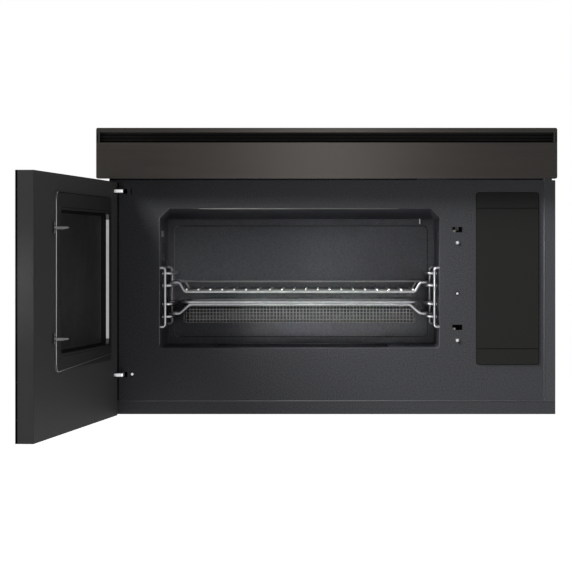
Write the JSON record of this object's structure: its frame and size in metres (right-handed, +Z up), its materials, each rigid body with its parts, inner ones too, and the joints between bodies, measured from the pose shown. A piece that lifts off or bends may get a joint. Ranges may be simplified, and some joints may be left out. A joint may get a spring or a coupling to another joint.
{
  "type": "built-in microwave",
  "caption": "Built-in convection microwave with a side-hinged full-width door, hood vent slot above, wire racks inside and a control bay beside the cavity.",
  "frame": {"origin": "middle of the lower rear edge, on the wall plane and the plane of the base's lowest beads", "axes": "+X to the right as one faces the door, +Y into the wall, +Z up"},
  "size_m": [0.8165, 1.0996, 0.4758],
  "materials": {
    "speckled_enamel": "speckled satin enamel",
    "coated_steel": "dark coated sheet",
    "dark_steel": "dark brushed stainless",
    "black_plastic": "fine moulded",
    "grey_plastic": "fine moulded",
    "white_plastic": "moulded",
    "carbon": "granular",
    "mesh_aluminium": "expanded mesh",
    "clear_glass": "clear",
    "dark_glass": "tinted",
    "floor_glass": "smooth glass ceramic",
    "plain_steel": "plain plated sheet",
    "cavity_enamel": "satin enamel",
    "door_enamel": "satin enamel",
    "screen_steel": "perforated, black",
    "chrome_wire": "bright plated wire",
    "heater_steel": "heat stained",
    "circuit_board": "lacquered board"
  },
  "bodies": {
    "case": {"front_plate": "speckled_enamel", "case_wrap": "coated_steel", "back_plate": "coated_steel", "base_plate": "speckled_enamel", "right_trim_strip": "speckled_enamel", "vent_fascia": "dark_steel", "vent_grille": "black_plastic", "charcoal_filter": "carbon", "grease_filters": "mesh_aluminium", "hood_lamp_lenses": "clear_glass", "bolt_plates": "plain_steel", "cord_bushing": "black_plastic", "control_cover": "grey_plastic", "latch_board": "black_plastic", "latch_screws": "plain_steel", "interlock_switches": "black_plastic", "hinge_arms": "plain_steel", "cavity_liner": "cavity_enamel", "cavity_back": "cavity_enamel", "lamp_lens": "clear_glass", "cavity_lamp": "plain_steel", "temperature_probe": "plain_steel", "rack_support_left": "chrome_wire", "rack_support_right": "chrome_wire", "floor_plate": "floor_glass", "antenna_well": "cavity_enamel", "waveguide": "plain_steel", "stirrer_motor": "plain_steel", "magnetron": "plain_steel", "fan_shroud": "plain_steel", "cooling_fan_motor": "plain_steel", "inverter_board": "circuit_board", "convection_grille": "cavity_enamel", "convection_housing": "plain_steel", "convection_heater": "heater_steel", "convection_motor": "plain_steel", "duct_floor": "plain_steel", "blower_housing": "grey_plastic", "blower_motor": "plain_steel"},
    "door": {"door_skin": "dark_steel", "door_glass": "dark_glass", "touch_glass": "dark_glass", "door_inner_panel": "door_enamel", "choke_cover": "black_plastic", "choke_frame": "plain_steel", "inner_glass": "dark_glass", "shield_screen": "screen_steel", "latch_bezels": "black_plastic", "latch_spring": "plain_steel", "hinge_blocks": "plain_steel", "hinge_pins": "plain_steel"},
    "latch": {"latch_slide": "white_plastic"},
    "rack": {"wire_rack": "chrome_wire"},
    "basket": {"basket_frame": "chrome_wire", "basket_tray": "chrome_wire"},
    "lever": {"interlock_lever": "white_plastic"},
    "antenna": {"stirrer": "mesh_aluminium"},
    "fan": {"cooling_fan": "white_plastic"},
    "convection": {"convection_fan": "plain_steel"},
    "blower": {"blower_wheels": "black_plastic"}
  },
  "joints": [
    {"name": "door_hinge", "type": "hinge", "parent": "case", "child": "door", "pos_m": [-0.3621, -0.369, 0.22], "axis": [0, 0, 1], "range_deg": [0, 95.1]},
    {"name": "latch_slide", "type": "slide", "parent": "door", "child": "latch", "axis": [0, 0, 1], "range_m": [-0.0015, 0.0025], "stiffness_N_per_m": 400, "springref_m": 0.0002},
    {"name": "rack_slide", "type": "slide", "parent": "case", "child": "rack", "axis": [0, 1, 0], "range_m": [-0.2, 0]},
    {"name": "basket_slide", "type": "slide", "parent": "case", "child": "basket", "axis": [0, 1, 0], "range_m": [-0.2, 0]},
    {"name": "lever_pivot", "type": "hinge", "parent": "case", "child": "lever", "pos_m": [0.2162, -0.3287, 0.3215], "axis": [1, 0, 0], "range_deg": [0, 10], "stiffness_Nm_per_rad": 0.01},
    {"name": "antenna_spin", "type": "hinge", "parent": "case", "child": "antenna", "pos_m": [-0.04495, -0.216, 0.06], "axis": [0, 0, 1], "continuous": true},
    {"name": "fan_spin", "type": "hinge", "parent": "case", "child": "fan", "pos_m": [0.2737, -0.13, 0.1582], "axis": [0, 1, 0], "continuous": true},
    {"name": "convection_spin", "type": "hinge", "parent": "case", "child": "convection", "pos_m": [-0.3, -0.21, 0.2276], "axis": [1, 0, 0], "continuous": true},
    {"name": "blower_spin", "type": "hinge", "parent": "case", "child": "blower", "pos_m": [0, -0.066, 0.431], "axis": [1, 0, 0], "continuous": true}
  ]
}
